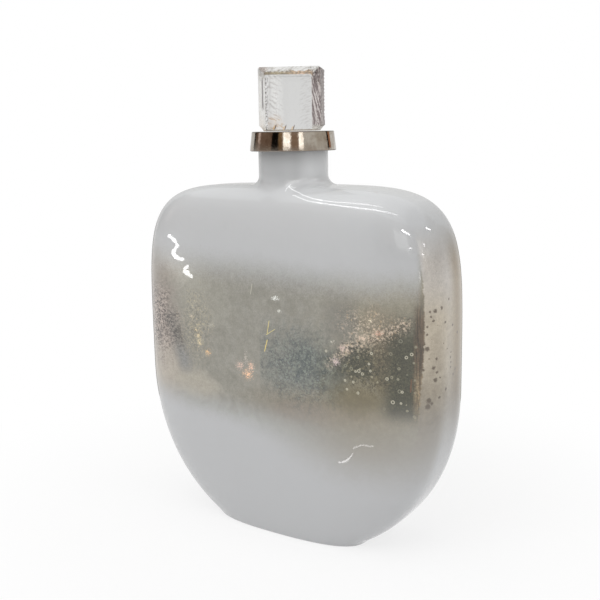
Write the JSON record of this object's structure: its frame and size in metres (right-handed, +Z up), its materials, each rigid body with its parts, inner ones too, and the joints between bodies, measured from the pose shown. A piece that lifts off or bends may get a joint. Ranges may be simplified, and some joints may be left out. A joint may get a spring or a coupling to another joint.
{
  "type": "decorative bottle",
  "caption": "Flattened flask of glass silvered in a band, with a metal collar stopper and a crystal cube for its knob.",
  "frame": {"origin": "centre of the base, on the surface that the bottle stands on", "axes": "+Z up along the neck, +X along the width, -Y out of the front face"},
  "size_m": [0.2246, 0.068, 0.3015],
  "materials": {
    "silvered_glass": "glossy clear glass, coated white inside, with a tarnished silver band",
    "polished_nickel": "polished, slightly warm",
    "crystal": "clear, with chipped edges",
    "plug_moulding": "moulded, natural white",
    "silicone": "soft, translucent white",
    "screw_steel": "plain stainless"
  },
  "bodies": {
    "bottle": {"glass_bottle": "silvered_glass"},
    "seals": {"lip_gasket": "silicone", "seal_ring_upper": "silicone", "seal_ring_lower": "silicone"},
    "stopper": {"collar_cap": "polished_nickel", "crystal_cube": "crystal", "plug_core": "plug_moulding", "plug_screw": "screw_steel", "screw_washer": "screw_steel"}
  },
  "joints": [
    {"name": "stopper_lift", "type": "slide", "parent": "bottle", "child": "seals", "axis": [0, 0, 1], "range_m": [0, 0.08]},
    {"name": "stopper_turn", "type": "hinge", "parent": "seals", "child": "stopper", "pos_m": [0, 0, 0.2625], "axis": [0, 0, 1], "continuous": true}
  ]
}
